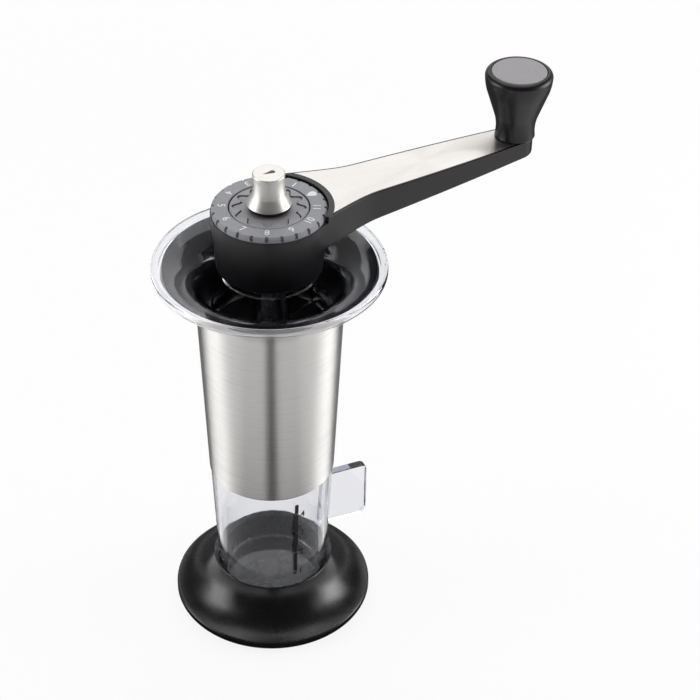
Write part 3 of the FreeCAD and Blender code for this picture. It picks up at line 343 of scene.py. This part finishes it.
def turned_metal(name, colour, roughness, line, tone, stretch):
    """Metal brushed or turned round an upright axis, with fine rings of lighter and darker lines."""
    material, tree, shader = new_material(name, colour, roughness, metallic=1.0)
    lines = noise(tree, turned_place(tree, LINE_CHANGE, 1.0 / line), 1.0, detail=4.0, rough=0.6)
    bands = noise(tree, turned_place(tree, BAND_CHANGE, 1.0 / (BAND_LINES * line)), 1.0, detail=2.0)
    both = combined(tree, "ADD", lines, bands)
    vary_tone(tree, shader, both, colour, tone, SUM_TONE_SPAN)
    vary_gloss(tree, shader, both, roughness, METAL_GLOSS_CHANGE, SUM_GLOSS_SPAN)
    bump(tree, shader, lines, TURNED_LINE_DEPTH)
    stretch_shine(tree, shader, stretch, QUARTER_TURN)
    return material


def straight_brushed_metal(name, colour, roughness, line, length, tone, stretch):
    """Metal brushed along X, on an arm that points out from the axis. Its shine spreads across the lines."""
    material, tree, shader = new_material(name, colour, roughness, metallic=1.0)
    scales = (1.0 / length, 1.0 / line, 1.0 / line)
    place = add(tree, "ShaderNodeVectorMath", {0: point(tree), 1: scales}, operation="MULTIPLY")
    lines = noise(tree, place.outputs["Vector"], 1.0, detail=4.0, rough=0.6)
    vary_tone(tree, shader, lines, colour, tone)
    vary_gloss(tree, shader, lines, roughness, METAL_GLOSS_CHANGE)
    bump(tree, shader, lines, BRUSHED_LINE_DEPTH)
    stretch_shine(tree, shader, stretch, NO_TURN)
    return material


def clear_plastic(name, ior, density, roughness):
    """Clear moulded plastic with faint flow marks, tinted where thick. Lamp light passes through it."""
    material, tree, shader = new_material(name, CLEAR_COLOUR, roughness)
    shader.inputs["Transmission Weight"].default_value = 1.0
    shader.inputs["IOR"].default_value = ior
    flow = noise(tree, turned_place(tree, FLOW_CHANGE, FLOW_MARKS), 1.0, detail=2.0)
    vary_gloss(tree, shader, flow, roughness, CLEAR_GLOSS_CHANGE)
    bump(tree, shader, flow, FLOW_DEPTH)
    shadow = ray_kind(tree, "Is Shadow Ray")
    open_way = add(tree, "ShaderNodeBsdfTransparent", {"Color": CLEAR_LIGHT_SHARE})
    surface = mixed(tree, shadow, shader.outputs["BSDF"], open_way.outputs["BSDF"])
    inside = add(tree, "ShaderNodeVolumeAbsorption", {"Color": CLEAR_TINT, "Density": density})
    output = tree.nodes["Material Output"]
    tree.links.new(surface, output.inputs["Surface"])
    tree.links.new(inside.outputs["Volume"], output.inputs["Volume"])
    return material


def printing_ink(name, colour, roughness):
    """Screen-printed ink, slightly uneven in cover."""
    material, tree, shader = new_material(name, colour, roughness)
    cover = noise(tree, point(tree), INK_SPOTS, detail=2.0)
    colours = shades(tree, cover, tinted(colour, THIN_INK), colour)
    tree.links.new(colours, shader.inputs["Base Color"])
    vary_gloss(tree, shader, cover, roughness, INK_GLOSS_CHANGE)
    return material


def make_materials():
    """One material for each slot of the record, and one for the hopper's clear plastic."""
    families = (
        (moulded_plastic, PLASTICS),
        (turned_metal, TURNED_METALS),
        (straight_brushed_metal, BRUSHED_METALS),
        (clear_plastic, CLEAR_PLASTICS),
        (printing_ink, INKS),
    )
    return {name: make(name, *values) for make, rows in families for name, values in rows.items()}


def dress_cad_nodes(materials):
    """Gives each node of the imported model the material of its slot, or its own."""
    looks = {subpart["node"]: subpart["material_slot"] for subpart in frame["record"]["subparts"]}
    looks.update(OWN_LOOKS)
    for node, look in looks.items():
        mesh = NODES[node].data
        mesh.materials.clear()
        mesh.materials.append(materials[look])


def mesh_object(name, vertices, faces):
    """A new object from points and faces."""
    mesh = bpy.data.meshes.new(name)
    mesh.from_pydata(vertices, [], faces)
    mesh.validate()
    mesh.update()
    piece = bpy.data.objects.new(name, mesh)
    bpy.context.scene.collection.objects.link(piece)
    return piece


def text_mark(words, size, weight):
    """The points and faces of a word round the origin, as thick as print, its strokes wider by a weight."""
    curve = bpy.data.curves.new("words", "FONT")
    curve.body = words
    curve.size = size
    curve.extrude = PRINT_THICKNESS / 2
    curve.offset = weight
    curve.resolution_u = LETTER_STEPS
    holder = bpy.data.objects.new("words", curve)
    bpy.context.scene.collection.objects.link(holder)
    bpy.context.view_layer.update()
    mesh = bpy.data.meshes.new_from_object(holder)
    bpy.data.objects.remove(holder)
    points = [Vector(v.co) for v in mesh.vertices]
    faces = [list(face.vertices) for face in mesh.polygons]
    middle_x = (min(p.x for p in points) + max(p.x for p in points)) / 2
    middle_y = (min(p.y for p in points) + max(p.y for p in points)) / 2
    shift = Vector((-middle_x, -middle_y, PRINT_THICKNESS / 2))
    return [p + shift for p in points], faces


def outline_mark(edge):
    """The points and faces of a flat mark with the given edge, as thick as print."""
    count = len(edge)
    points = [Vector((x, y, 0.0)) for x, y in edge]
    points += [Vector((x, y, PRINT_THICKNESS)) for x, y in edge]
    faces = [list(range(count))[::-1], list(range(count, 2 * count))]
    for i in range(count):
        j = (i + 1) % count
        faces.append([i, j, count + j, count + i])
    return points, faces


def drop_edge(length, width):
    """The edge of a teardrop along X, its tip at minus X."""
    turns = [2 * math.pi * i / DROP_STEPS for i in range(DROP_STEPS)]
    sides = [math.sin(turn) * math.sin(turn / 2) ** DIAL_DROP_POWER for turn in turns]
    widest = max(sides)
    return [
        (-length / 2 * math.cos(turn), -width / 2 * side / widest)
        for turn, side in zip(turns, sides)
    ]


def bar_edge(width, low, high, round_low, round_high):
    """The edge of an upright bar between two heights, with round or square ends."""
    half = width / 2
    edge = []
    for centre, sign, rounded in ((high - half, 1, round_high), (low + half, -1, round_low)):
        if rounded:
            for i in range(BAR_END_STEPS + 1):
                turn = math.pi * i / BAR_END_STEPS
                edge.append((sign * half * math.cos(turn), centre + sign * half * math.sin(turn)))
        else:
            edge.append((sign * half, centre + sign * half))
            edge.append((-sign * half, centre + sign * half))
    return edge


def on_dial(mark, angle):
    """Lays a mark on the dial, its right side going round the dial and its top towards the middle."""
    points, faces = mark
    round_way = Vector((-math.sin(angle), math.cos(angle), 0.0))
    outward = Vector((math.cos(angle), math.sin(angle), 0.0))
    centre = outward * DIAL_MARK_RADIUS + Vector((0.0, 0.0, DIAL_TOP + PRINT_LIFT))
    laid = [centre + round_way * p.x - outward * p.y + Vector((0.0, 0.0, p.z)) for p in points]
    return laid, faces


def on_cup(mark, angle, height):
    """Lays a mark on the cup's wall, its middle at an angle and a height."""
    points, faces = mark
    slope = (CUP_TOP_RADIUS - CUP_FOOT_RADIUS) / (CUP_SHOULDER_Z - CUP_LOW.z)
    laid = []
    for p in points:
        z = height + p.y
        wall = CUP_FOOT_RADIUS + slope * (z - CUP_LOW.z)
        turn = angle + p.x / wall
        out = wall + PRINT_LIFT + p.z
        laid.append(Vector((out * math.cos(turn), out * math.sin(turn), z)))
    return laid, faces


def printed_piece(name, marks, slot, body, materials):
    """Joins printed marks into one piece that rides on a body."""
    vertices = []
    faces = []
    for points, corners in marks:
        first = len(vertices)
        vertices += [tuple(p) for p in points]
        faces += [[first + i for i in face] for face in corners]
    piece = mesh_object(name, vertices, faces)
    piece.data.materials.append(materials[slot])
    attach(piece, body)


def print_dial(materials):
    """The numbers round the dial and the drop that marks its start."""
    marks = []
    for number in range(1, DIAL_NUMBERS + 1):
        word = text_mark(str(number), DIAL_NUMBER_SIZE, DIAL_NUMBER_WEIGHT)
        marks.append(on_dial(word, number * DIAL_STEP))
    printed_piece("dial_numbers", marks, "print_white", "crank", materials)
    points, faces = outline_mark(drop_edge(DIAL_DROP_LENGTH, DIAL_DROP_WIDTH))
    turned = [Vector((p.y, -p.x, p.z)) for p in points]
    drop = on_dial((turned, faces), 0.0)
    printed_piece("dial_drop", [drop], "print_white", "crank", materials)


def print_cup_scale(materials):
    """The bar with its gaps, and the numbers beside the gaps."""
    cuts = [SCALE_LOW - SCALE_GAP / 2, *SCALE_GAPS.values(), SCALE_HIGH + SCALE_GAP / 2]
    bars = []
    for i, (low, high) in enumerate(zip(cuts, cuts[1:])):
        ends = (i == 0, i == len(cuts) - 2)
        edge = bar_edge(SCALE_WIDTH, low + SCALE_GAP / 2, high - SCALE_GAP / 2, *ends)
        bars.append(on_cup(outline_mark(edge), SCALE_ANGLE, 0.0))
    printed_piece("scale_bar", bars, "print_black", "stand", materials)
    words = []
    for word, height in SCALE_GAPS.items():
        mark = text_mark(word, SCALE_NUMBER_SIZE, SCALE_NUMBER_WEIGHT)
        words.append(on_cup(mark, SCALE_NUMBER_ANGLE, height - SCALE_NUMBER_DROP))
    printed_piece("scale_numbers", words, "print_black", "stand", materials)


def camera_axes():
    """The camera's right, up and forward directions."""
    level = math.cos(CAMERA_PITCH)
    forward = Vector((
        math.sin(CAMERA_HEADING) * level,
        math.cos(CAMERA_HEADING) * level,
        -math.sin(CAMERA_PITCH),
    ))
    right = Vector((math.cos(CAMERA_HEADING), -math.sin(CAMERA_HEADING), 0.0))
    up = right.cross(forward)
    rolled_right = math.cos(CAMERA_ROLL) * right + math.sin(CAMERA_ROLL) * up
    rolled_up = math.cos(CAMERA_ROLL) * up - math.sin(CAMERA_ROLL) * right
    return rolled_right, rolled_up, forward


def place_camera():
    """The camera where the photograph was taken from."""
    data = bpy.data.cameras.new("camera")
    data.lens = LENS
    data.sensor_width = SENSOR
    data.clip_start = CLIP_NEAR
    data.clip_end = CLIP_FAR
    camera = bpy.data.objects.new("camera", data)
    bpy.context.scene.collection.objects.link(camera)
    right, up, forward = camera_axes()
    turn = Matrix((right, up, -forward)).transposed().to_4x4()
    camera.matrix_world = Matrix.Translation(CAMERA_PLACE) @ turn
    bpy.context.scene.camera = camera


def studio_place(right, up, distance):
    """A place told from the camera's side: degrees to the right of it, degrees up, and how far out."""
    sideways = Vector((math.cos(CAMERA_HEADING), -math.sin(CAMERA_HEADING), 0.0))
    nearer = Vector((-math.sin(CAMERA_HEADING), -math.cos(CAMERA_HEADING), 0.0))
    level = sideways * math.sin(math.radians(right)) + nearer * math.cos(math.radians(right))
    rise = Vector((0.0, 0.0, math.sin(math.radians(up))))
    return distance * (level * math.cos(math.radians(up)) + rise)


def hang_softboxes():
    """The lamps, each turned to the object."""
    for name, (right, up, distance, width, tall, brightness) in SOFTBOXES.items():
        data = bpy.data.lights.new(name, "AREA")
        data.shape = "RECTANGLE"
        data.size = width
        data.size_y = tall
        data.energy = brightness * math.pi * width * tall
        lamp = bpy.data.objects.new(name, data)
        bpy.context.scene.collection.objects.link(lamp)
        lamp.location = studio_place(right, up, distance)
        lamp.rotation_euler = (LIGHT_TARGET - lamp.location).to_track_quat("-Z", "Y").to_euler()
        lamp.visible_camera = False


def flag_edges():
    """The corners of each dark card: a strip towards the camera, and a fan behind the object."""
    toward = studio_place(FRONT_FLAG_TURN, 0.0, 1.0)
    across = studio_place(FRONT_FLAG_TURN + 90.0, 0.0, 1.0)
    strip = [toward * out - across * half for out, half in FRONT_FLAG]
    strip += [toward * out + across * half for out, half in reversed(FRONT_FLAG)]
    first, last = BACK_FLAG
    turns = [first + (last - first) * i / BACK_FLAG_STEPS for i in range(BACK_FLAG_STEPS + 1)]
    fan = [studio_place(turn, 0.0, BACK_FLAG_NEAR) for turn in turns]
    fan += [studio_place(turn, 0.0, BACK_FLAG_FAR) for turn in reversed(turns)]
    return {"front_flag": strip, "back_flag": fan}


def lay_flags():
    """The dark cards, seen only in reflections."""
    material, _, _ = new_material("flag", FLAG_COLOUR, FLAG_ROUGHNESS)
    for name, edge in flag_edges().items():
        corners = [(place.x, place.y, -FLOOR_DROP / 2) for place in edge]
        flag = mesh_object(name, corners, [list(range(len(corners)))])
        flag.data.materials.append(material)
        flag.visible_camera = False
        flag.visible_diffuse = False
        flag.visible_transmission = False
        flag.visible_shadow = False


def light_world():
    """Soft grey light from all round, white where the background is seen, a dim ceiling in reflections."""
    world = bpy.data.worlds.new("studio")
    bpy.context.scene.world = world
    world.use_nodes = True
    tree = world.node_tree
    light = tree.nodes["Background"]
    light.inputs["Color"].default_value = (*WORLD_COLOUR, 1.0)
    white = add(tree, "ShaderNodeBackground", {"Color": WHITE, "Strength": 1.0})
    direction = add(tree, "ShaderNodeTexCoord").outputs["Generated"]
    upward = add(tree, "ShaderNodeSeparateXYZ", {0: direction}).outputs["Z"]
    camera_side = {0: direction, 1: studio_place(0.0, 0.0, 1.0)}
    nearer = add(tree, "ShaderNodeVectorMath", camera_side, operation="DOT_PRODUCT").outputs["Value"]
    under_ceiling = spread(tree, upward, 1.0, 0.0, CEILING_FADE)
    out_of_room = spread(tree, nearer, 1.0, 0.0, ROOM_FADE)
    share = combined(tree, "MULTIPLY", under_ceiling, out_of_room)
    level = spread(tree, share, DIM_LEVEL, 1.0, span=(0.0, 1.0))
    backdrop = add(tree, "ShaderNodeBackground", {"Color": WHITE, "Strength": level})
    glossy = ray_kind(tree, "Is Glossy Ray")
    unseen = mixed(tree, glossy, light.outputs["Background"], backdrop.outputs["Background"])
    seen = ray_kind(tree, "Is Camera Ray", "Is Transmission Ray")
    surface = mixed(tree, seen, unseen, white.outputs["Background"])
    tree.links.new(surface, tree.nodes["World Output"].inputs["Surface"])


def lay_floor():
    """A pale floor that looks white and keeps a soft shadow."""
    edge = []
    for i in range(FLOOR_SIDES):
        turn = 2 * math.pi * i / FLOOR_SIDES
        edge.append((FLOOR_RADIUS * math.cos(turn), FLOOR_RADIUS * math.sin(turn), -FLOOR_DROP))
    floor = mesh_object("floor", edge, [list(range(FLOOR_SIDES))])
    material, tree, shader = new_material("floor", FLOOR_COLOUR, FLOOR_ROUGHNESS)
    white = add(tree, "ShaderNodeEmission", {"Color": WHITE, "Strength": 1.0})
    seen = ray_kind(tree, "Is Camera Ray", "Is Glossy Ray", "Is Transmission Ray")
    away = add(tree, "ShaderNodeVectorMath", {0: point(tree)}, operation="LENGTH").outputs["Value"]
    whiteness = spread(tree, away, *FLOOR_WHITE, span=FLOOR_WHITE_SPAN)
    share = combined(tree, "MULTIPLY", seen, whiteness)
    surface = mixed(tree, share, shader.outputs["BSDF"], white.outputs["Emission"])
    tree.links.new(surface, tree.nodes["Material Output"].inputs["Surface"])
    floor.data.materials.append(material)


def main():
    materials = make_materials()
    dress_cad_nodes(materials)
    print_dial(materials)
    print_cup_scale(materials)
    place_camera()
    hang_softboxes()
    light_world()
    lay_floor()
    lay_flags()
    bpy.context.scene.view_settings.view_transform = "Standard"


main()
